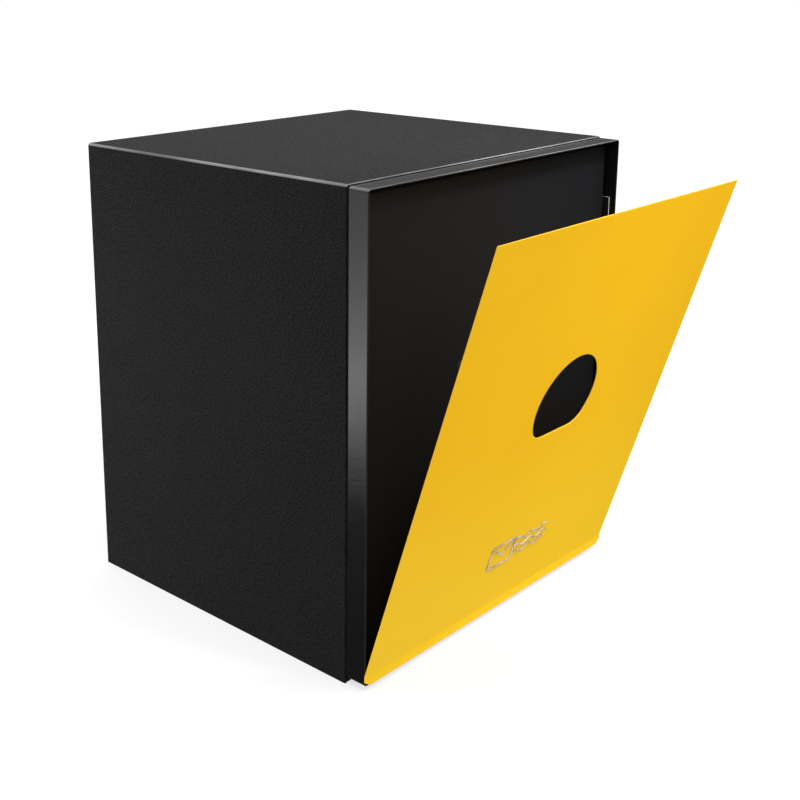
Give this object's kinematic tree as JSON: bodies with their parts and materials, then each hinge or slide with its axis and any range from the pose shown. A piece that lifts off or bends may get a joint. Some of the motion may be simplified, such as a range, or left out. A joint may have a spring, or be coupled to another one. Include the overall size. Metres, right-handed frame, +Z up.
{
  "type": "parcel mailbox",
  "caption": "Free-standing sheet-steel parcel mailbox: tilting front flap with a finger hole, top-hung inner panel, shadow-gap front frame and lockable rear emptying door.",
  "frame": {"origin": "middle of the body's footprint, on the underside of the floor", "axes": "+Z up, -Y out of the front where the flap is, +Y out of the rear door; +X to the right seen from the front"},
  "size_m": [0.4012, 0.5384, 0.466],
  "materials": {
    "body_powder_coat": "black fine-textured powder coat",
    "frame_satin_coat": "black smooth satin coat",
    "flap_yellow_coat": "yellow smooth satin powder coat",
    "black_rubber": "matt",
    "polished_metal": "polished",
    "lock_brass": "satin",
    "zinc_plated_steel": "bright zinc plating"
  },
  "bodies": {
    "box": {"anchor_plug_1": "black_rubber", "anchor_plug_2": "black_rubber", "anchor_plug_3": "black_rubber", "anchor_plug_4": "black_rubber", "body_shell": "body_powder_coat", "door_hinge_fixed_leaf_lower": "zinc_plated_steel", "door_hinge_fixed_leaf_upper": "zinc_plated_steel", "door_hinge_pin_lower": "zinc_plated_steel", "door_hinge_pin_upper": "zinc_plated_steel", "door_seal": "black_rubber", "flap_hinge_fixed_leaf": "zinc_plated_steel", "flap_hinge_pin": "zinc_plated_steel", "floor_panel": "body_powder_coat", "frame_gasket": "black_rubber", "frame_rivet_lower_1": "zinc_plated_steel", "frame_rivet_lower_2": "zinc_plated_steel", "frame_rivet_upper_1": "zinc_plated_steel", "frame_rivet_upper_2": "zinc_plated_steel", "frame_strap_left_lower": "frame_satin_coat", "frame_strap_left_upper": "frame_satin_coat", "frame_strap_right_lower": "frame_satin_coat", "frame_strap_right_upper": "frame_satin_coat", "frame_strap_top": "frame_satin_coat", "front_frame": "frame_satin_coat", "panel_buffer_left": "black_rubber", "panel_buffer_right": "black_rubber", "panel_rod": "zinc_plated_steel", "panel_rod_bracket_left": "frame_satin_coat", "panel_rod_bracket_right": "frame_satin_coat", "rear_frame": "body_powder_coat", "sill_plate": "frame_satin_coat"},
    "flap": {"flap_buffer_left": "black_rubber", "flap_buffer_right": "black_rubber", "flap_emblem": "polished_metal", "flap_hinge_moving_leaf": "zinc_plated_steel", "flap_panel": "flap_yellow_coat", "flap_stud_nut_1": "zinc_plated_steel", "flap_stud_nut_2": "zinc_plated_steel", "flap_stud_nut_3": "zinc_plated_steel", "flap_stud_nut_4": "zinc_plated_steel"},
    "inner_panel": {"swing_panel": "frame_satin_coat", "panel_stiffener": "frame_satin_coat"},
    "rear_door_body": {"door_hinge_moving_leaf_lower": "zinc_plated_steel", "door_hinge_moving_leaf_upper": "zinc_plated_steel", "door_rivet_lower_1": "zinc_plated_steel", "door_rivet_lower_2": "zinc_plated_steel", "door_rivet_upper_1": "zinc_plated_steel", "door_rivet_upper_2": "zinc_plated_steel", "lock_body": "polished_metal", "lock_nut": "zinc_plated_steel", "rear_door": "body_powder_coat"},
    "lock": {"lock_plug": "lock_brass", "lock_cam": "zinc_plated_steel", "cam_screw": "zinc_plated_steel", "key": "polished_metal"}
  },
  "joints": [
    {"name": "flap_hinge", "type": "hinge", "parent": "box", "child": "flap", "pos_m": [0, -0.1987, 0.0168], "axis": [1, 0, 0], "range_deg": [-17.2, 0]},
    {"name": "inner_panel_hinge", "type": "hinge", "parent": "box", "child": "inner_panel", "pos_m": [0, -0.1845, 0.4555], "axis": [1, 0, 0], "range_deg": [0, 40]},
    {"name": "rear_door_hinge", "type": "hinge", "parent": "box", "child": "rear_door_body", "pos_m": [0.1791, 0.1806, 0.233], "axis": [0, 0, -1], "range_deg": [0, 110]},
    {"name": "lock_turn", "type": "hinge", "parent": "rear_door_body", "child": "lock", "pos_m": [-0.15, 0.1775, 0.233], "axis": [0, 1, 0], "range_deg": [0, 90]}
  ]
}
